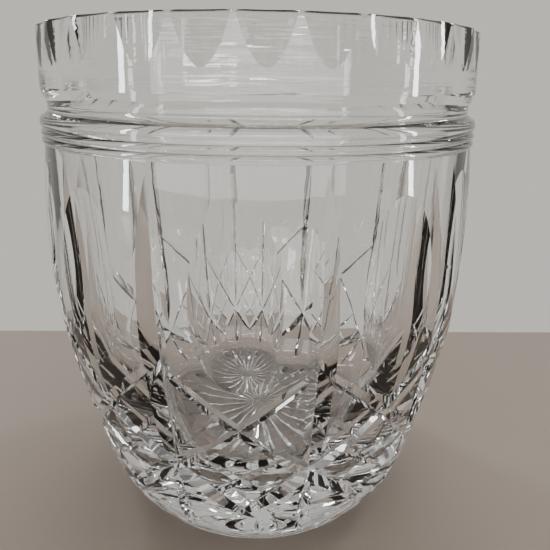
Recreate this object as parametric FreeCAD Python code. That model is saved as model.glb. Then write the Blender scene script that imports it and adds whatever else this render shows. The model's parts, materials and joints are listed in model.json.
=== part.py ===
"""Cut-crystal mixing glass: one piece of solid glass, cut and polished all over.

Frame: millimetres, +Z up, origin at the centre of the resting face.  The front
panel faces -Y.  The blank is a revolved vessel; every decorative cut is made with
a grinding-wheel tool, the way the real glass is cut.
"""
import FreeCAD
import Part
import math
import os

from FreeCAD import Vector

# ---- driving dimensions ----------------------------------------------------
HEIGHT = 150.0
RIM_RADIUS = 63.0
BELLY_RADIUS = 66.8
BELLY_HEIGHT = 87.0
BASE_RADIUS = 46.6
WALL_AT_RIM = 5.2
FLOOR_HEIGHT = 21.0
PANELS = 10

# neck: a wide hollow under the rim band, then three beads
BAND_RADIUS = 63.8
BAND_FOOT = 134.4
HOLLOW_RADIUS = 62.6
HOLLOW_TOP = 131.4
HOLLOW_FOOT = 128.8
BEAD_JOINTS = (127.9, 124.5, 122.5, 120.5)
BEAD_ROOT_RADIUS = 64.3
BEAD_CREST_RADIUS = 64.9

# cuts: heights above the resting face, depths below the uncut surface
MITRE_HALF_ANGLE = 51.0
WEDGE_HALF_ANGLE = 57.0
WEDGE_TOP = 119.6
WEDGE_FOOT = 32.3
WEDGE_DEPTH = 2.6
UPPER_WEDGE_FOOT = 70.0
UPPER_WEDGE_DEPTH = 2.2
LOWER_PASS_TOP = 86.0
LOWER_PASS_DEPTH = 2.3
STAR_HEIGHT = 34.3
LOWER_WEDGE_FOOT = 7.0
LOWER_WEDGE_DEPTH = 1.7
OLIVE_TOP = 114.7
OLIVE_FOOT = 66.8
OLIVE_HALF_WIDTH = 11.0
OLIVE_DEPTH = 2.86
OLIVE_WHEEL_RADIUS = 194.0
OLIVE_EDGE_RADIUS = 45.0
DIAGONAL_TOP = 71.0
DIAGONAL_FOOT = 17.0
DIAGONAL_DEPTH = 1.15
DEEP_DIAGONAL_TOP = 50.9
DEEP_DIAGONAL_DEPTH = 2.4
FINE_TOP = 43.5
FINE_FOOT = 26.5
FINE_DEPTH = 1.1
SCALLOPS = 3 * PANELS
SCALLOP_FOOT = 142.6
SCALLOP_DEPTH = 1.1
BASE_RAYS = 24
BASE_RAY_LENGTH = 41.5
LONG_RAY_HEART = 0.5
LONG_RAY_DEPTH = 1.0
SHORT_RAY_HEART = 17.0
SHORT_RAY_DEPTH = 1.9

PANEL_ANGLE = 360.0 / PANELS
HALF_PANEL = PANEL_ANGLE / 2
FRONT = -90.0
PROUD = 4.0
CLEAR = -0.2


# ---- the blank -------------------------------------------------------------
def line(a, b):
    return Part.LineSegment(Vector(a[0], 0, a[1]), Vector(b[0], 0, b[1])).toShape()


def arc(a, middle, b):
    points = [Vector(r, 0, z) for r, z in (a, middle, b)]
    return Part.Arc(*points).toShape()


def spline(points, first=None, last=None):
    """Smooth curve through points, with the directions it starts and ends in if given."""
    curve = Part.BSplineCurve()
    through = [Vector(r, 0, z) for r, z in points]
    if first:
        curve.interpolate(Points=through, InitialTangent=Vector(first[0], 0, first[1]),
                          FinalTangent=Vector(last[0], 0, last[1]))
    else:
        curve.interpolate(through)
    return curve.toShape()


FOOT_ROUND = ((BASE_RADIUS - 1.6, 0.0), (BASE_RADIUS - 0.4, 0.4), (BASE_RADIUS, 1.4))
BODY_POINTS = (
    FOOT_ROUND[2],
    (51.6, 8.0),
    (57.6, 26.0),
    (63.2, 52.0),
    (BELLY_RADIUS, BELLY_HEIGHT),
    (BEAD_ROOT_RADIUS, BEAD_JOINTS[-1]),
)
BODY_CURVE = spline(BODY_POINTS)


def body_radius(z):
    """Uncut outer radius of the body at height z."""
    level = line((0, z), (2 * BELLY_RADIUS, z))
    return BODY_CURVE.distToShape(level)[1][0][0].x


def outer_edges():
    """Outside outline, from the resting face up to the lip."""
    lip = RIM_RADIUS, HEIGHT - 1.5
    edges = [line((0, 0), FOOT_ROUND[0]), arc(*FOOT_ROUND), BODY_CURVE]
    joints = BEAD_JOINTS[::-1]
    for low, high in zip(joints, joints[1:]):
        crest = BEAD_CREST_RADIUS, (low + high) / 2
        edges.append(arc((BEAD_ROOT_RADIUS, low), crest, (BEAD_ROOT_RADIUS, high)))
    edges.append(spline([(BEAD_ROOT_RADIUS, joints[-1]), (HOLLOW_RADIUS, HOLLOW_FOOT + 0.3),
                         (HOLLOW_RADIUS, HOLLOW_TOP), (BAND_RADIUS, BAND_FOOT)]))
    edges.append(line((BAND_RADIUS, BAND_FOOT), lip))
    edges.append(arc(lip, (RIM_RADIUS - 0.45, HEIGHT - 0.45), (RIM_RADIUS - 1.5, HEIGHT)))
    return edges


def inner_edges():
    """Inside outline, from the lip down to the centre of the floor."""
    bore = RIM_RADIUS - WALL_AT_RIM
    lip = bore, HEIGHT - 1.5
    wall_foot = (bore, 84.0)
    floor_edge = (22.0, FLOOR_HEIGHT)
    bowl = [wall_foot, (57.6, 74.0), (54.7, 60.0), (50.0, 45.0), (43.5, 31.0), (33.6, 23.4),
            floor_edge]
    return [
        line((RIM_RADIUS - 1.5, HEIGHT), (bore + 1.5, HEIGHT)),
        arc((bore + 1.5, HEIGHT), (bore + 0.45, HEIGHT - 0.45), lip),
        line(lip, wall_foot),
        spline(bowl, (0, -1), (-1, 0)),
        line(floor_edge, (0, FLOOR_HEIGHT)),
        line((0, FLOOR_HEIGHT), (0, 0)),
    ]


def blank():
    outline = Part.Wire(Part.__sortEdges__(outer_edges() + inner_edges()))
    return Part.Face(outline).revolve(Vector(0, 0, 0), Vector(0, 0, 1), 360)


# ---- the cutting tools -----------------------------------------------------
def on_body(angle, z, depth):
    """Point below the uncut body, angle measured from the middle of the front panel."""
    radius = body_radius(z) - depth
    turn = math.radians(FRONT + angle)
    return Vector(radius * math.cos(turn), radius * math.sin(turn), z)


def mitre(start, middle, end, outward=None, half_angle=MITRE_HALF_ANGLE):
    """V-section cut whose bottom is the circular arc through three points."""
    circle = Part.Arc(start, middle, end).toShape().Curve
    centre, axis = circle.Center, circle.Axis
    sweep = math.degrees((start - centre).getAngle(end - centre))
    if (start - centre).cross(end - centre).dot(axis) < 0:
        axis = -axis
    opening = (start - centre).normalize()
    if opening.dot(outward or Vector(middle.x, middle.y, 0)) < 0:
        opening = -opening
    side = axis * (PROUD * math.tan(math.radians(half_angle)))
    top = start + opening * PROUD
    section = Part.Face(Part.makePolygon([start, top + side, top - side, start]))
    return section.revolve(centre, axis, sweep)


def body_mitre(start, end, depth, half_angle=MITRE_HALF_ANGLE):
    """Mitre across the body from start to end, square to the surface and depth deep halfway."""
    chord = (end - start).normalize()
    middle = (start + end) * 0.5
    radial = Vector(middle.x, middle.y, 0)
    outward = (radial - chord * radial.dot(chord)).normalize()
    for _ in range(8):
        middle += outward * (body_radius(middle.z) - math.hypot(middle.x, middle.y))
    return mitre(start, middle - outward * depth, end, None, half_angle)


def wedge(top, foot, foot_depth, depth):
    """One pass of the long upright cut on the border between two panels."""
    start = on_body(HALF_PANEL, top, CLEAR)
    return body_mitre(start, on_body(HALF_PANEL, foot, foot_depth), depth, WEDGE_HALF_ANGLE)


def lower_wedge():
    """Short upright cut from the star point down to the foot."""
    top = on_body(HALF_PANEL, STAR_HEIGHT + 3.0, CLEAR)
    return body_mitre(top, on_body(HALF_PANEL, LOWER_WEDGE_FOOT, CLEAR), LOWER_WEDGE_DEPTH)


def diagonal(direction):
    """Slanted mitre from one panel border, through two crossings, to the next panel's foot."""
    top = on_body(-direction * HALF_PANEL, DIAGONAL_TOP, 0.5)
    foot = on_body(direction * 1.15 * PANEL_ANGLE, DIAGONAL_FOOT, CLEAR)
    return body_mitre(top, foot, DIAGONAL_DEPTH)


def deep_diagonal(direction):
    """Second pass of the wheel along the lower half of a diagonal."""
    top = on_body(direction * 2.0, DEEP_DIAGONAL_TOP, CLEAR)
    foot = on_body(direction * 1.15 * PANEL_ANGLE, DIAGONAL_FOOT, CLEAR)
    return body_mitre(top, foot, DEEP_DIAGONAL_DEPTH)


def fine_diagonal(direction):
    """Short mitre that quarters the diamond between two star points."""
    top = on_body(-direction * 0.62 * HALF_PANEL, FINE_TOP, CLEAR)
    return body_mitre(top, on_body(direction * 0.62 * HALF_PANEL, FINE_FOOT, CLEAR), FINE_DEPTH)


def olive():
    """Tall hollow cut in the middle of a panel: part of a wheel whose barrel edge has full shoulders."""
    surface = body_radius((OLIVE_TOP + OLIVE_FOOT) / 2)
    round_drop = surface - math.sqrt(surface ** 2 - OLIVE_HALF_WIDTH ** 2)
    plain_drop = OLIVE_HALF_WIDTH ** 2 / (2 * OLIVE_EDGE_RADIUS)
    shoulder = (OLIVE_DEPTH - round_drop - plain_drop) / OLIVE_HALF_WIDTH ** 4
    deepest = Vector(0, -surface + OLIVE_DEPTH, (OLIVE_TOP + OLIVE_FOOT) / 2)
    half = 1.3 * OLIVE_HALF_WIDTH
    barrel = []
    for step in range(-4, 5):
        x = half * step / 4
        drop = x ** 2 / (2 * OLIVE_EDGE_RADIUS) + shoulder * x ** 4
        barrel.append(deepest + Vector(x, -drop, 0))
    curve = Part.BSplineCurve()
    curve.interpolate(barrel)
    left, right = barrel[0], barrel[-1]
    back = Vector(0, -2 * PROUD, 0)
    rest = Part.makePolygon([right, right + back, left + back, left])
    section = Part.Face(Part.Wire([curve.toShape()] + rest.Edges))
    axle = deepest + Vector(0, -OLIVE_WHEEL_RADIUS, 0)
    angle = math.degrees(0.65 * (OLIVE_TOP - OLIVE_FOOT) / OLIVE_WHEEL_RADIUS)
    section.rotate(axle, Vector(1, 0, 0), -angle)
    return section.revolve(axle, Vector(1, 0, 0), 2 * angle)


def scallop():
    """Shallow hollow on the outside of the rim: a rod leaning out from its foot."""
    half_width = math.pi * RIM_RADIUS / SCALLOPS
    round_drop = half_width ** 2 / (2 * RIM_RADIUS)
    rod = half_width ** 2 / (2 * (SCALLOP_DEPTH - round_drop))
    length = HEIGHT - SCALLOP_FOOT
    lean = SCALLOP_DEPTH / length
    foot_radius = RIM_RADIUS + (BAND_RADIUS - RIM_RADIUS) * length / (HEIGHT - BAND_FOOT)
    direction = Vector(0, lean, 1).normalize()
    start = Vector(0, -foot_radius - rod, SCALLOP_FOOT) - direction * length
    return Part.makeCylinder(rod, 3 * length, start, direction)


def base_ray(heart, depth):
    """Mitre under the base, deepest halfway between its heart and the tip of the star."""
    tip = Vector(0, -BASE_RAY_LENGTH, CLEAR)
    deepest = Vector(0, -(BASE_RAY_LENGTH + heart) / 2, depth)
    return mitre(tip, deepest, Vector(0, -heart, CLEAR), Vector(0, 0, -1))


def ring_of(tool, count, first=0.0):
    copies = []
    for index in range(count):
        copy = tool.copy()
        copy.rotate(Vector(0, 0, 0), Vector(0, 0, 1), first + index * 360.0 / count)
        copies.append(copy)
    return copies


def main():
    glass = blank()
    rounds = (
        ring_of(scallop(), SCALLOPS, HALF_PANEL),
        ring_of(olive(), PANELS),
        ring_of(wedge(WEDGE_TOP, WEDGE_FOOT, 0.5, WEDGE_DEPTH), PANELS),
        ring_of(wedge(WEDGE_TOP, UPPER_WEDGE_FOOT, CLEAR, UPPER_WEDGE_DEPTH), PANELS),
        ring_of(wedge(LOWER_PASS_TOP, WEDGE_FOOT, 0.5, LOWER_PASS_DEPTH), PANELS),
        ring_of(lower_wedge(), PANELS),
        ring_of(diagonal(1), PANELS),
        ring_of(diagonal(-1), PANELS),
        ring_of(deep_diagonal(1), PANELS),
        ring_of(deep_diagonal(-1), PANELS),
        ring_of(fine_diagonal(1), PANELS),
        ring_of(fine_diagonal(-1), PANELS),
        ring_of(base_ray(LONG_RAY_HEART, LONG_RAY_DEPTH), BASE_RAYS),
        ring_of(base_ray(SHORT_RAY_HEART, SHORT_RAY_DEPTH), BASE_RAYS),
    )
    for tools in rounds:
        glass = glass.cut(tools)
    os.makedirs("parts", exist_ok=True)
    glass.exportStep("parts/glass_vessel.step")


main()
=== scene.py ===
"""Cut-crystal mixing glass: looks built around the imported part.

The vessel is one closed mesh.  It starts as the same turned blank as the CAD part
and is cut by the same wheels, more finely, with the exact surface normal on every
corner so that light bends as cleanly as it does in polished crystal.  Its lip is
crisper than the CAD's, and the bottoms of its V cuts are very slightly rounded.
Shapes are worked out in millimetres and written in metres, +Z up.
"""
import json
import math

import bmesh
import bpy
import numpy as np
from mathutils import Matrix, Vector

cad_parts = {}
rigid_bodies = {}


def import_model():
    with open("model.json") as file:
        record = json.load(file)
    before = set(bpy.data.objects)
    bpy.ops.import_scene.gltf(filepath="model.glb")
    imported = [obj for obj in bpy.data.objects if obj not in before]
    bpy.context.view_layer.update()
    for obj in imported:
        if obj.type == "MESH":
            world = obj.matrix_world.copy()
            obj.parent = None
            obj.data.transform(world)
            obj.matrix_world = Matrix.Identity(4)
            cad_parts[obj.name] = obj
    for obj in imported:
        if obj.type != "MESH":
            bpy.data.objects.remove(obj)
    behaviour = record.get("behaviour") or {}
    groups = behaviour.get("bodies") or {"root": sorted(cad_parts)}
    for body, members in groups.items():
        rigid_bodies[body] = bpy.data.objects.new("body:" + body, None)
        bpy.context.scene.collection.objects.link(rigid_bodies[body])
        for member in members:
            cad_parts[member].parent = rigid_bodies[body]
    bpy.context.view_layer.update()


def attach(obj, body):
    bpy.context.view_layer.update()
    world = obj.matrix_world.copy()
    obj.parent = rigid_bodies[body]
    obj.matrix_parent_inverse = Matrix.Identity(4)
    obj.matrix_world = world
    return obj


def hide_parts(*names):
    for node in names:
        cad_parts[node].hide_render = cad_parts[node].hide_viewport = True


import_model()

MM = 0.001

# ---- outline of the blank: radius and height, millimetres -------------------
HEIGHT = 150.0
RIM_RADIUS = 63.0
BAND_RADIUS = 63.8
BAND_FOOT = 134.4
BORE_RADIUS = 57.8
LIP_ROUND = 0.6
FLOOR_HEIGHT = 21.0
BEAD_JOINTS = (120.5, 122.5, 124.5, 127.9)
BEAD_ROOT_RADIUS = 64.3
BEAD_CREST_RADIUS = 64.9
FOOT_ROUND = ((45.0, 0.0), (46.2, 0.4), (46.6, 1.4))
BODY_POINTS = ((46.6, 1.4), (51.6, 8.0), (57.6, 26.0), (63.2, 52.0), (66.8, 87.0), (64.3, 120.5))
NECK_POINTS = ((64.3, 127.9), (62.6, 129.1), (62.6, 131.4), (63.8, 134.4))
BOWL_POINTS = ((57.8, 84.0), (57.6, 74.0), (54.7, 60.0), (50.0, 45.0), (43.5, 31.0), (33.6, 23.4),
               (22.0, 21.0))
TURNS = 300                          # facets round the blank

# ---- cuts: heights above the resting face, depths below the uncut surface ---
PANELS = 10
PANEL_ANGLE = 360.0 / PANELS
HALF_PANEL = PANEL_ANGLE / 2
FRONT = -90.0
PROUD = 4.0                          # how far a tool stands out of the glass
CLEAR = -0.2                         # depth at which a cut has just run out
BLUNT_END = 0.5                      # depth at which a cut stops inside another
ROOT_ROUND = 0.18                    # a wheel's edge is never quite sharp
MITRE_HALF_ANGLE = math.radians(51.0)
WEDGE_HALF_ANGLE = math.radians(57.0)
WEDGE_TOP = 119.6
WEDGE_FOOT = 32.3
WEDGE_DEPTH = 2.6
UPPER_WEDGE_FOOT = 70.0
UPPER_WEDGE_DEPTH = 2.2
LOWER_PASS_TOP = 86.0
LOWER_PASS_DEPTH = 2.3
LOWER_WEDGE_TOP = 37.3
LOWER_WEDGE_FOOT = 7.0
LOWER_WEDGE_DEPTH = 1.7
DIAGONAL_TOP = 71.0
DIAGONAL_FOOT = 17.0
DIAGONAL_REACH = 1.15 * PANEL_ANGLE  # angle from the front panel's middle to the foot
DIAGONAL_DEPTH = 1.15
DEEP_DIAGONAL_TOP = 50.9
DEEP_DIAGONAL_START = 2.0
DEEP_DIAGONAL_DEPTH = 2.4
FINE_TOP = 43.5
FINE_FOOT = 26.5
FINE_REACH = 0.62 * HALF_PANEL
FINE_DEPTH = 1.1
OLIVE_TOP = 114.7
OLIVE_FOOT = 66.8
OLIVE_HALF_WIDTH = 11.0
OLIVE_DEPTH = 2.86
OLIVE_WHEEL_RADIUS = 194.0
OLIVE_EDGE_RADIUS = 45.0
SCALLOPS = 3 * PANELS
SCALLOP_FOOT = 142.6
SCALLOP_DEPTH = 1.1
BASE_RAYS = 24
BASE_RAY_LENGTH = 41.5
LONG_RAY_HEART = 0.5
LONG_RAY_DEPTH = 1.0
SHORT_RAY_HEART = 17.0
SHORT_RAY_DEPTH = 1.9


# ---- curves -----------------------------------------------------------------
class Curve:
    """Cubic through points in the (radius, height) plane.

    Its ends are free, or leave in the first and arrive in the last direction given.
    """

    def __init__(self, points, first=None, last=None):
        self.points = np.array(points, float)
        self.knots = np.concatenate(([0.0], np.cumsum(
            np.linalg.norm(np.diff(self.points, axis=0), axis=1))))
        gaps = np.diff(self.knots)
        count = len(self.knots)
        system = np.eye(count)
        right = np.zeros((count, 2))
        for k in range(1, count - 1):
            system[k, k - 1:k + 2] = gaps[k - 1], 2 * (gaps[k - 1] + gaps[k]), gaps[k]
            steps = np.diff(self.points[k - 1:k + 2], axis=0) / gaps[k - 1:k + 1, None]
            right[k] = 6 * (steps[1] - steps[0])
        if first:
            system[0, :2] = 2 * gaps[0], gaps[0]
            right[0] = 6 * ((self.points[1] - self.points[0]) / gaps[0] - first)
            system[-1, -2:] = gaps[-1], 2 * gaps[-1]
            right[-1] = 6 * (last - (self.points[-1] - self.points[-2]) / gaps[-1])
        self.bend = np.linalg.solve(system, right)

    def samples(self, count):
        """Points along the curve, and the unit normals on its right-hand side."""
        t = np.linspace(0, self.knots[-1], count)
        k = np.clip(np.searchsorted(self.knots, t, "right") - 1, 0, len(self.knots) - 2)
        gap = (self.knots[k + 1] - self.knots[k])[:, None]
        a = (self.knots[k + 1] - t)[:, None]
        b = (t - self.knots[k])[:, None]
        p, q = self.points[k], self.points[k + 1]
        m, n = self.bend[k], self.bend[k + 1]
        at = (m * a ** 3 + n * b ** 3) / (6 * gap)
        at += (p / gap - m * gap / 6) * a + (q / gap - n * gap / 6) * b
        slope = (n * b ** 2 - m * a ** 2) / (2 * gap) + (q - p) / gap - (n - m) * gap / 6
        slope /= np.linalg.norm(slope, axis=1)[:, None]
        return at, np.stack((slope[:, 1], -slope[:, 0]), axis=1)


def arc_samples(a, middle, b, count):
    """Points along the arc through three points, and their normals on the outside."""
    (ax, ay), (bx, by), (cx, cy) = a, middle, b
    d = 2 * (ax * (by - cy) + bx * (cy - ay) + cx * (ay - by))
    a2, b2, c2 = ax * ax + ay * ay, bx * bx + by * by, cx * cx + cy * cy
    centre = np.array(((a2 * (by - cy) + b2 * (cy - ay) + c2 * (ay - by)) / d,
                       (a2 * (cx - bx) + b2 * (ax - cx) + c2 * (bx - ax)) / d))
    first = math.atan2(ay - centre[1], ax - centre[0])
    last = math.atan2(cy - centre[1], cx - centre[0])
    turn = np.linspace(first, last, count)
    out = np.stack((np.cos(turn), np.sin(turn)), axis=1)
    return centre + out * math.hypot(ax - centre[0], ay - centre[1]), out


def line_samples(a, b, count):
    """Points along a straight run, and its normal on the right-hand side."""
    a, b = np.array(a, float), np.array(b, float)
    run = (b - a) / np.linalg.norm(b - a)
    at = a + (b - a) * np.linspace(0, 1, count)[:, None]
    return at, np.tile((run[1], -run[0]), (count, 1))


BODY = Curve(BODY_POINTS)
BODY_LINE = BODY.samples(4000)[0]


def body_radius(z):
    """Uncut outer radius of the body at height z."""
    return float(np.interp(z, BODY_LINE[:, 1], BODY_LINE[:, 0]))


# ---- surfaces: each knows its own exact normals -----------------------------
surfaces = []


def surface(normals):
    """Number of a new surface, whose function gives normals for points in millimetres."""
    surfaces.append(normals)
    return len(surfaces) - 1


def turned(stretch):
    """Normals of a turned surface, from its outline's samples."""
    at, out = stretch
    along = 1 if np.ptp(at[:, 1]) > 0.4 * np.ptp(at[:, 0]) else 0
    order = np.argsort(at[:, along])
    keys, values = at[order, along], out[order]

    def normals(points):
        radius = np.hypot(points[:, 0], points[:, 1])
        key = points[:, 2] if along else radius
        nr = np.interp(key, keys, values[:, 0])
        nz = np.interp(key, keys, values[:, 1])
        scale = nr / np.maximum(radius, 1e-6)
        return np.stack((points[:, 0] * scale, points[:, 1] * scale, nz), axis=1)
    return normals


def rotation(angle):
    turn = math.radians(angle)
    return np.array(((math.cos(turn), -math.sin(turn), 0), (math.sin(turn), math.cos(turn), 0),
                     (0, 0, 1)))


def make_mesh(name, vertices, faces, numbers):
    mesh = bpy.data.meshes.new(name)
    mesh.from_pydata((np.array(vertices) * MM).tolist(), [], faces)
    tag = mesh.attributes.new("surface", "INT", "FACE")
    tag.data.foreach_set("value", numbers)
    shell = bmesh.new()
    shell.from_mesh(mesh)
    bmesh.ops.recalc_face_normals(shell, faces=shell.faces)
    shell.to_mesh(mesh)
    shell.free()
    return bpy.data.objects.new(name, mesh)


# ---- the blank --------------------------------------------------------------
def outline():
    """Stretches of the outline, from the middle of the base round to the middle of the floor."""
    lip = (RIM_RADIUS, HEIGHT - LIP_ROUND)
    bore_lip = (BORE_RADIUS, HEIGHT - LIP_ROUND)
    crown = LIP_ROUND * math.sqrt(0.5)
    stretches = [line_samples((0, 0), FOOT_ROUND[0], 4), arc_samples(*FOOT_ROUND, 7),
                 BODY.samples(84)]
    for low, high in zip(BEAD_JOINTS, BEAD_JOINTS[1:]):
        middle = (BEAD_CREST_RADIUS, (low + high) / 2)
        stretches.append(arc_samples((BEAD_ROOT_RADIUS, low), middle, (BEAD_ROOT_RADIUS, high), 9))
    stretches.append(Curve(NECK_POINTS).samples(22))
    stretches.append(line_samples((BAND_RADIUS, BAND_FOOT), lip, 8))
    stretches.append(arc_samples(lip, (RIM_RADIUS - LIP_ROUND + crown, HEIGHT - LIP_ROUND + crown),
                                 (RIM_RADIUS - LIP_ROUND, HEIGHT), 7))
    stretches.append(line_samples((RIM_RADIUS - LIP_ROUND, HEIGHT),
                                  (BORE_RADIUS + LIP_ROUND, HEIGHT), 3))
    stretches.append(arc_samples((BORE_RADIUS + LIP_ROUND, HEIGHT),
                                 (BORE_RADIUS + LIP_ROUND - crown, HEIGHT - LIP_ROUND + crown),
                                 bore_lip, 7))
    stretches.append(line_samples(bore_lip, BOWL_POINTS[0], 16))
    stretches.append(Curve(BOWL_POINTS, (0, -1), (-1, 0)).samples(50))
    stretches.append(line_samples(BOWL_POINTS[-1], (0, FLOOR_HEIGHT), 4))
    return stretches


def blank():
    """The turned blank, closed at the axis under the base and on the floor."""
    turn = np.radians(np.arange(TURNS) * 360.0 / TURNS + FRONT)
    ring = np.stack((np.cos(turn), np.sin(turn)), axis=1)
    rows, numbers = [], []
    for stretch in outline():
        number = surface(turned(stretch))
        points = stretch[0] if not rows else stretch[0][1:]
        rows.extend(points)
        numbers.extend([number] * (len(stretch[0]) - 1))
    inner = rows[1:-1]
    vertices = [(0, 0, 0)]
    for r, z in inner:
        vertices.extend(np.column_stack((ring * r, np.full(TURNS, z))))
    vertices.append((0, 0, FLOOR_HEIGHT))
    top = len(vertices) - 1
    faces, tags = [], []
    for k in range(TURNS):
        n = (k + 1) % TURNS
        faces.append((0, 1 + n, 1 + k))
        tags.append(numbers[0])
        for row in range(len(inner) - 1):
            a, b = 1 + row * TURNS, 1 + (row + 1) * TURNS
            faces.append((a + k, a + n, b + n, b + k))
            tags.append(numbers[row + 1])
        last = 1 + (len(inner) - 1) * TURNS
        faces.append((last + k, last + n, top))
        tags.append(numbers[-1])
    return make_mesh("cut_vessel", vertices, faces, tags)


# ---- the cutting tools ------------------------------------------------------
def on_body(angle, z, depth):
    """Point below the uncut body, angle measured from the middle of the front panel."""
    radius = body_radius(z) - depth
    turn = math.radians(FRONT + angle)
    return np.array((radius * math.cos(turn), radius * math.sin(turn), z))


def unit(vector):
    return vector / np.linalg.norm(vector)


def swept(rings):
    """Closed solid through equal rings of points: vertices and faces."""
    size = len(rings[0])
    vertices = [tuple(p) for ring in rings for p in ring]
    faces = [tuple(range(size)), tuple(range((len(rings) - 1) * size, len(rings) * size))[::-1]]
    for k in range(len(rings) - 1):
        for i in range(size):
            j = (i + 1) % size
            faces.append((k * size + i, (k + 1) * size + i, (k + 1) * size + j, k * size + j))
    return vertices, faces


def turn_about(vectors, axis, angle):
    """Vectors turned about a unit axis by an angle in radians."""
    vectors = np.atleast_2d(vectors)
    c, s = math.cos(angle), math.sin(angle)
    along = vectors @ axis
    return vectors * c + np.cross(axis, vectors) * s + np.outer(along, axis) * (1 - c)


def mitre(start, middle, end, outward=None, steps=40, half_angle=MITRE_HALF_ANGLE):
    """V-section cut whose bottom is the circular arc through three points."""
    a, b = start - end, middle - end
    cross = np.cross(a, b)
    centre = end + np.cross(a @ a * b - b @ b * a, cross) / (2 * cross @ cross)
    axis = unit(np.cross(start - centre, end - centre))
    sweep = math.acos(np.clip(unit(start - centre) @ unit(end - centre), -1, 1))
    radial = unit(start - centre)
    reach = np.linalg.norm(start - centre)
    way = 1.0 if radial @ (outward if outward is not None else middle * (1, 1, 0)) > 0 else -1.0
    sine, cosine = math.sin(half_angle), math.cos(half_angle)
    hub = ROOT_ROUND / sine
    section = []
    for share in np.linspace(-1, 1, 5):
        tilt = share * (math.pi / 2 - half_angle)
        section.append((hub - ROOT_ROUND * math.cos(tilt), ROOT_ROUND * math.sin(tilt)))
    width = (PROUD - ROOT_ROUND * (1 / sine - 1)) * math.tan(half_angle)
    section += [(PROUD, width), (PROUD, -width)]
    rings = []
    for angle in np.linspace(0, sweep, steps + 1):
        u = turn_about(radial, axis, angle)[0]
        rings.append([centre + u * (reach + way * rise) + axis * side for rise, side in section])

    def normals(points):
        offset = points - centre
        side = offset @ axis
        flat = offset - np.outer(side, axis)
        length = np.linalg.norm(flat, axis=1)
        u = flat / length[:, None]
        edge = ROOT_ROUND * cosine
        out = np.where(np.abs(side) < edge, np.sqrt(np.maximum(ROOT_ROUND ** 2 - side ** 2, 0))
                       / ROOT_ROUND, sine)
        across = -np.clip(side, -edge, edge) / ROOT_ROUND
        return u * (way * out)[:, None] + np.outer(across, axis)
    return swept(rings), normals


def body_mitre(start, end, depth, steps=40, half_angle=MITRE_HALF_ANGLE):
    """Mitre across the body from start to end, square to the surface and depth deep halfway."""
    chord = unit(end - start)
    middle = (start + end) / 2
    radial = middle * (1, 1, 0)
    outward = unit(radial - chord * (radial @ chord))
    for _ in range(8):
        middle = middle + outward * (body_radius(middle[2]) - math.hypot(middle[0], middle[1]))
    return mitre(start, middle - outward * depth, end, None, steps, half_angle)


def wedge(top, foot, end_depth, depth, steps):
    """One pass of the long upright cut on the border between two panels."""
    start = on_body(HALF_PANEL, top, CLEAR)
    end = on_body(HALF_PANEL, foot, end_depth)
    return body_mitre(start, end, depth, steps, WEDGE_HALF_ANGLE)


def lower_wedge():
    """Short upright cut from the star point down to the foot."""
    start = on_body(HALF_PANEL, LOWER_WEDGE_TOP, CLEAR)
    end = on_body(HALF_PANEL, LOWER_WEDGE_FOOT, CLEAR)
    return body_mitre(start, end, LOWER_WEDGE_DEPTH, 30)


def diagonal(direction):
    """Slanted mitre from one panel border, through two crossings, to the next panel's foot."""
    top = on_body(-direction * HALF_PANEL, DIAGONAL_TOP, BLUNT_END)
    foot = on_body(direction * DIAGONAL_REACH, DIAGONAL_FOOT, CLEAR)
    return body_mitre(top, foot, DIAGONAL_DEPTH, 56)


def deep_diagonal(direction):
    """Second pass of the wheel along the lower half of a diagonal."""
    top = on_body(direction * DEEP_DIAGONAL_START, DEEP_DIAGONAL_TOP, CLEAR)
    foot = on_body(direction * DIAGONAL_REACH, DIAGONAL_FOOT, CLEAR)
    return body_mitre(top, foot, DEEP_DIAGONAL_DEPTH, 40)


def fine_diagonal(direction):
    """Short mitre that quarters the diamond between two star points."""
    top = on_body(-direction * FINE_REACH, FINE_TOP, CLEAR)
    foot = on_body(direction * FINE_REACH, FINE_FOOT, CLEAR)
    return body_mitre(top, foot, FINE_DEPTH, 24)


def olive():
    """Tall hollow cut in the middle of a panel, by a wheel whose barrel edge has shoulders."""
    middle = (OLIVE_TOP + OLIVE_FOOT) / 2
    outer = body_radius(middle)
    round_drop = outer - math.sqrt(outer ** 2 - OLIVE_HALF_WIDTH ** 2)
    plain_drop = OLIVE_HALF_WIDTH ** 2 / (2 * OLIVE_EDGE_RADIUS)
    shoulder = (OLIVE_DEPTH - round_drop - plain_drop) / OLIVE_HALF_WIDTH ** 4
    axle = np.array((0.0, OLIVE_DEPTH - outer - OLIVE_WHEEL_RADIUS, middle))
    half = 1.3 * OLIVE_HALF_WIDTH
    section = []
    for x in np.linspace(-half, half, 33):
        drop = x ** 2 / (2 * OLIVE_EDGE_RADIUS) + shoulder * x ** 4
        section.append((x, OLIVE_WHEEL_RADIUS - drop))
    back = OLIVE_WHEEL_RADIUS - 2 * PROUD
    section += [(half, back), (-half, back)]
    reach = 0.6 * (OLIVE_TOP - OLIVE_FOOT) / OLIVE_WHEEL_RADIUS
    rings = []
    for angle in np.linspace(-reach, reach, 57):
        c, s = math.cos(angle), math.sin(angle)
        rings.append([axle + (x, q * c, q * s) for x, q in section])

    def normals(points):
        offset = points - axle
        q = np.hypot(offset[:, 1], offset[:, 2])
        x = offset[:, 0]
        slope = x / OLIVE_EDGE_RADIUS + 4 * shoulder * x ** 3
        found = -np.column_stack((slope, offset[:, 1] / q, offset[:, 2] / q))
        return found / np.linalg.norm(found, axis=1)[:, None]
    return swept(rings), normals


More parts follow.
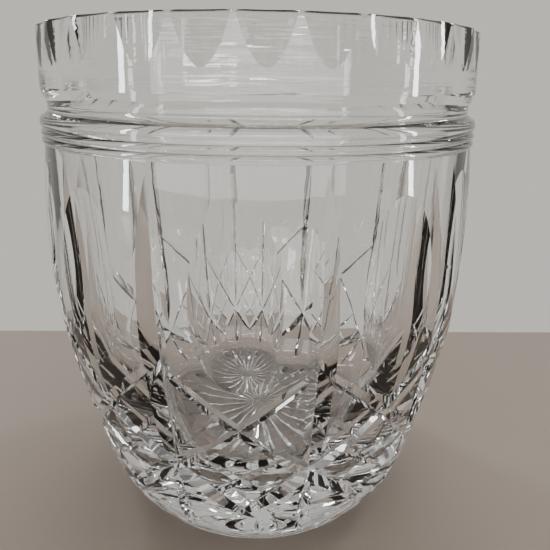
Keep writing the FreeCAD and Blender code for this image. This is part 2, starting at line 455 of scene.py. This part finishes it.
def scallop():
    """Shallow hollow on the outside of the rim: part of a rod leaning out from its foot."""
    half_width = math.pi * RIM_RADIUS / SCALLOPS
    rod = half_width ** 2 / (2 * (SCALLOP_DEPTH - half_width ** 2 / (2 * RIM_RADIUS)))
    length = HEIGHT - SCALLOP_FOOT
    direction = unit(np.array((0.0, SCALLOP_DEPTH / length, 1.0)))
    foot_radius = RIM_RADIUS + (BAND_RADIUS - RIM_RADIUS) * length / (HEIGHT - BAND_FOOT)
    start = np.array((0.0, -foot_radius - rod, SCALLOP_FOOT))
    inward = unit(np.array((0.0, direction[2], -direction[1])))
    half = 1.2 * half_width
    section = [(x, math.sqrt(rod ** 2 - x * x)) for x in np.linspace(-half, half, 21)]
    section += [(half, rod - 2 * PROUD), (-half, rod - 2 * PROUD)]
    rings = []
    for along in (-length, 2 * length):
        level = start + direction * along
        rings.append([level + inward * q + (x, 0, 0) for x, q in section])

    def normals(points):
        offset = points - start
        found = offset - np.outer(offset @ direction, direction)
        return -found / np.linalg.norm(found, axis=1)[:, None]
    return swept(rings), normals


def base_ray(heart, depth):
    """Mitre under the base, deepest halfway between its heart and the tip of the star."""
    tip = np.array((0, -BASE_RAY_LENGTH, CLEAR))
    deepest = np.array((0, -(BASE_RAY_LENGTH + heart) / 2, depth))
    end = np.array((0, -heart, CLEAR))
    return mitre(tip, deepest, end, np.array((0, 0, -1.0)), 24)


def rounds():
    """Every kind of cut, how many copies go round the vessel, and the angle of the first."""
    return (
        (scallop(), SCALLOPS, HALF_PANEL),
        (olive(), PANELS, 0),
        (wedge(WEDGE_TOP, WEDGE_FOOT, BLUNT_END, WEDGE_DEPTH, 56), PANELS, 0),
        (wedge(WEDGE_TOP, UPPER_WEDGE_FOOT, CLEAR, UPPER_WEDGE_DEPTH, 40), PANELS, 0),
        (wedge(LOWER_PASS_TOP, WEDGE_FOOT, BLUNT_END, LOWER_PASS_DEPTH, 40), PANELS, 0),
        (lower_wedge(), PANELS, 0),
        (diagonal(1), PANELS, 0),
        (diagonal(-1), PANELS, 0),
        (deep_diagonal(1), PANELS, 0),
        (deep_diagonal(-1), PANELS, 0),
        (fine_diagonal(1), PANELS, 0),
        (fine_diagonal(-1), PANELS, 0),
        (base_ray(LONG_RAY_HEART, LONG_RAY_DEPTH), BASE_RAYS, 0),
        (base_ray(SHORT_RAY_HEART, SHORT_RAY_DEPTH), BASE_RAYS, 0),
    )


def turned_normals(normals, spin):
    return lambda points: normals(points @ spin) @ spin.T


def make_tools(rack):
    for (shape, normals), count, first in rounds():
        vertices, faces = shape
        for index in range(count):
            spin = rotation(first + index * 360.0 / count)
            number = surface(turned_normals(normals, spin))
            tool = make_mesh("tool", np.array(vertices) @ spin.T, faces, [number] * len(faces))
            rack.objects.link(tool)


def cut_vessel():
    """The blank with every cut taken out of it."""
    vessel = blank()
    bpy.context.scene.collection.objects.link(vessel)
    rack = bpy.data.collections.new("tools")
    bpy.context.scene.collection.children.link(rack)
    make_tools(rack)
    cut = vessel.modifiers.new("cuts", "BOOLEAN")
    cut.solver = "MANIFOLD"
    cut.operation = "DIFFERENCE"
    cut.operand_type = "COLLECTION"
    cut.collection = rack
    depsgraph = bpy.context.evaluated_depsgraph_get()
    mesh = bpy.data.meshes.new_from_object(vessel.evaluated_get(depsgraph))
    vessel.modifiers.clear()
    vessel.data = mesh
    for tool in list(rack.objects):
        bpy.data.objects.remove(tool)
    bpy.data.collections.remove(rack)
    return vessel


def polish(mesh):
    """Gives every face corner the exact normal of the surface that it lies on."""
    corners = len(mesh.loops)
    at = np.zeros(len(mesh.vertices) * 3)
    mesh.vertices.foreach_get("co", at)
    index = np.zeros(corners, np.int32)
    mesh.loops.foreach_get("vertex_index", index)
    points = at.reshape(-1, 3)[index] / MM
    sizes = np.zeros(len(mesh.polygons), np.int32)
    mesh.polygons.foreach_get("loop_total", sizes)
    numbers = np.zeros(len(mesh.polygons), np.int32)
    mesh.attributes["surface"].data.foreach_get("value", numbers)
    numbers = np.repeat(numbers, sizes)
    found = np.zeros((corners, 3))
    for number in np.unique(numbers):
        chosen = numbers == number
        found[chosen] = surfaces[number](points[chosen])
    found /= np.linalg.norm(found, axis=1)[:, None]
    mesh.shade_smooth()
    mesh.normals_split_custom_set(found.tolist())
    mesh.attributes.remove(mesh.attributes["surface"])
    mesh.update()


# ---- materials --------------------------------------------------------------
def new_material(name):
    material = bpy.data.materials.new(name)
    material.use_nodes = True
    nodes, links = material.node_tree.nodes, material.node_tree.links
    nodes.clear()
    output = nodes.new("ShaderNodeOutputMaterial")
    shader = nodes.new("ShaderNodeBsdfPrincipled")
    links.new(shader.outputs["BSDF"], output.inputs["Surface"])
    return material, nodes, links, shader


def noise(nodes, scale, detail=3.0):
    place = nodes.new("ShaderNodeTexCoord")
    texture = nodes.new("ShaderNodeTexNoise")
    texture.inputs["Scale"].default_value = scale
    texture.inputs["Detail"].default_value = detail
    return place, texture


def ramp(nodes, low, high, low_value, high_value):
    node = nodes.new("ShaderNodeMapRange")
    node.inputs["From Min"].default_value = low
    node.inputs["From Max"].default_value = high
    node.inputs["To Min"].default_value = low_value
    node.inputs["To Max"].default_value = high_value
    return node


def turning_marks(nodes, links):
    """Long level ripples left round the plain band under the rim."""
    place, marks = noise(nodes, 1.0, 3.0)
    stretch = nodes.new("ShaderNodeMapping")
    stretch.inputs["Scale"].default_value = (14.0, 14.0, 300.0)
    links.new(place.outputs["Object"], stretch.inputs["Vector"])
    links.new(stretch.outputs["Vector"], marks.inputs["Vector"])
    split = nodes.new("ShaderNodeSeparateXYZ")
    links.new(place.outputs["Object"], split.inputs["Vector"])
    band = ramp(nodes, 0.130, 0.136, 0.0, 1.0)
    links.new(split.outputs["Z"], band.inputs["Value"])
    height = nodes.new("ShaderNodeMath")
    height.operation = "MULTIPLY"
    links.new(marks.outputs["Fac"], height.inputs[0])
    links.new(band.outputs["Result"], height.inputs[1])
    bump = nodes.new("ShaderNodeBump")
    bump.inputs["Strength"].default_value = 0.6
    bump.inputs["Distance"].default_value = 0.0003
    links.new(height.outputs["Value"], bump.inputs["Height"])
    return bump


def crystal():
    """Clear lead crystal: faint polishing ripple, and the odd finger mark in its gloss."""
    material, nodes, links, shader = new_material("lead_crystal")
    shader.inputs["Base Color"].default_value = (0.985, 0.99, 0.99, 1)
    shader.inputs["Transmission Weight"].default_value = 1.0
    shader.inputs["IOR"].default_value = 1.545
    place, smudge = noise(nodes, 38.0, 4.0)
    links.new(place.outputs["Object"], smudge.inputs["Vector"])
    spread = ramp(nodes, 0.5, 0.78, 0.0, 0.05)
    links.new(smudge.outputs["Fac"], spread.inputs["Value"])
    links.new(spread.outputs["Result"], shader.inputs["Roughness"])
    place, ripple = noise(nodes, 170.0, 2.0)
    links.new(place.outputs["Object"], ripple.inputs["Vector"])
    bump = nodes.new("ShaderNodeBump")
    bump.inputs["Strength"].default_value = 0.25
    bump.inputs["Distance"].default_value = 0.00006
    links.new(ripple.outputs["Fac"], bump.inputs["Height"])
    turning = turning_marks(nodes, links)
    links.new(bump.outputs["Normal"], turning.inputs["Normal"])
    links.new(turning.outputs["Normal"], shader.inputs["Normal"])
    return material


def floor_material():
    """Pale matt board with a very faint mottle."""
    material, nodes, links, shader = new_material("pale_board")
    place, mottle = noise(nodes, 9.0, 5.0)
    links.new(place.outputs["Object"], mottle.inputs["Vector"])
    tint = nodes.new("ShaderNodeMix")
    tint.data_type = "RGBA"
    tint.inputs["A"].default_value = (0.25, 0.20, 0.165, 1)
    tint.inputs["B"].default_value = (0.285, 0.235, 0.195, 1)
    links.new(mottle.outputs["Fac"], tint.inputs["Factor"])
    links.new(tint.outputs["Result"], shader.inputs["Base Color"])
    shader.inputs["Roughness"].default_value = 0.6
    return material


# ---- the piece --------------------------------------------------------------
vessel = cut_vessel()
polish(vessel.data)
vessel.data.materials.clear()
vessel.data.materials.append(crystal())
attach(vessel, "root")
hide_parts("glass_vessel")

# ---- the studio -------------------------------------------------------------
def board(name, low, high, thickness, edge):
    """Flat slab with rounded edges, its top at height zero."""
    shell = bmesh.new()
    bmesh.ops.create_cube(shell, size=1.0)
    for vertex in shell.verts:
        for k, (a, b) in enumerate(((low[0], high[0]), (low[1], high[1]), (-thickness, 0.0))):
            vertex.co[k] = a if vertex.co[k] < 0 else b
    bmesh.ops.bevel(shell, geom=shell.edges[:], offset=edge, segments=4, affect="EDGES")
    mesh = bpy.data.meshes.new(name)
    shell.to_mesh(mesh)
    shell.free()
    mesh.shade_smooth()
    slab = bpy.data.objects.new(name, mesh)
    bpy.context.scene.collection.objects.link(slab)
    return slab


FLOOR_BACK = 0.1045                  # how far behind the axis the board ends
FLOOR_REACH = 1.6
FLOOR_TURN = math.radians(4.3)       # makes the board's back edge level in the picture
FLOOR_GAP = 0.00005                  # keeps the board and the base from sharing a face

floor = board("floor", (-FLOOR_REACH, -FLOOR_REACH), (FLOOR_REACH, FLOOR_BACK), 0.03, 0.001)
floor.rotation_euler.z = FLOOR_TURN
floor.location.z = -FLOOR_GAP
floor.data.materials.append(floor_material())


def softbox(name, at, size, watts, colour=(1, 1, 1)):
    """Rectangular lamp that faces the middle of the vessel."""
    data = bpy.data.lights.new(name, "AREA")
    data.shape = "RECTANGLE"
    data.size, data.size_y = size
    data.energy = watts
    data.color = colour
    lamp = bpy.data.objects.new(name, data)
    lamp.location = at
    aim = Vector((0, 0, 0.07)) - Vector(at)
    lamp.rotation_euler = aim.to_track_quat("-Z", "Y").to_euler()
    lamp.visible_camera = False
    bpy.context.scene.collection.objects.link(lamp)


softbox("window_left", (-1.1, -0.6, 0.36), (0.07, 0.7), 6, (0.90, 0.96, 1.0))
softbox("front_fill", (0.0, -1.5, 0.33), (3.2, 0.42), 13)
softbox("window_right", (1.2, -0.15, 0.36), (0.07, 0.7), 6)
for number, depth in enumerate((-0.35, 0.35, 1.05)):
    softbox(f"ceiling_strip_{number}", (0.1, depth, 1.5), (0.9, 0.03), 5)
softbox("front_low", (-0.35, -1.1, 0.28), (0.5, 0.025), 1.6)
softbox("front_high", (0.3, -1.1, 0.42), (0.6, 0.03), 2.2)
softbox("back_left", (-0.9, 1.0, 0.9), (0.06, 0.9), 5)
softbox("back_right", (1.0, 0.9, 1.1), (0.06, 0.7), 5)


def room():
    """Pale walls and ceiling, dimmer on the camera's side of the vessel."""
    world = bpy.data.worlds.new("studio")
    bpy.context.scene.world = world
    world.use_nodes = True
    nodes, links = world.node_tree.nodes, world.node_tree.links
    background = nodes["Background"]
    place = nodes.new("ShaderNodeTexCoord")
    split = nodes.new("ShaderNodeSeparateXYZ")
    links.new(place.outputs["Generated"], split.inputs["Vector"])
    shade = nodes.new("ShaderNodeValToRGB")
    stops = shade.color_ramp.elements
    stops[0].position, stops[0].color = 0.30, (0.66, 0.635, 0.585, 1)
    stops[1].position, stops[1].color = 0.55, (0.62, 0.62, 0.60, 1)
    links.new(split.outputs["Z"], shade.inputs["Fac"])
    links.new(shade.outputs["Color"], background.inputs["Color"])
    depth = ramp(nodes, -0.4, 0.2, 0.5, 1.0)
    links.new(split.outputs["Y"], depth.inputs["Value"])
    links.new(depth.outputs["Result"], background.inputs["Strength"])


room()

# ---- the camera -------------------------------------------------------------
AIM = math.radians(3.0)
PITCH = math.radians(20.0)
ROLL = math.radians(0.76)
FRAME = 550                          # pixels across the square picture
FOCAL = 524.2                        # pixels
BACK, ASIDE, RAISED = 174.5, 5.44, 136.5
flat = Vector((-math.sin(AIM), math.cos(AIM), 0))
right = Vector((math.cos(AIM), math.sin(AIM), 0))
view = flat * math.cos(PITCH) - Vector((0, 0, math.sin(PITCH)))
up = right.cross(view)
across = right * math.cos(ROLL) + up * math.sin(ROLL)
upward = up * math.cos(ROLL) - right * math.sin(ROLL)
data = bpy.data.cameras.new("camera")
data.sensor_width = 36.0
data.lens = data.sensor_width * FOCAL / FRAME
data.clip_start = 0.01
camera = bpy.data.objects.new("camera", data)
bpy.context.scene.collection.objects.link(camera)
place = Matrix((across, upward, -view)).transposed().to_4x4()
place.translation = (flat * -BACK + right * ASIDE + Vector((0, 0, RAISED))) * MM
camera.matrix_world = place
bpy.context.scene.camera = camera
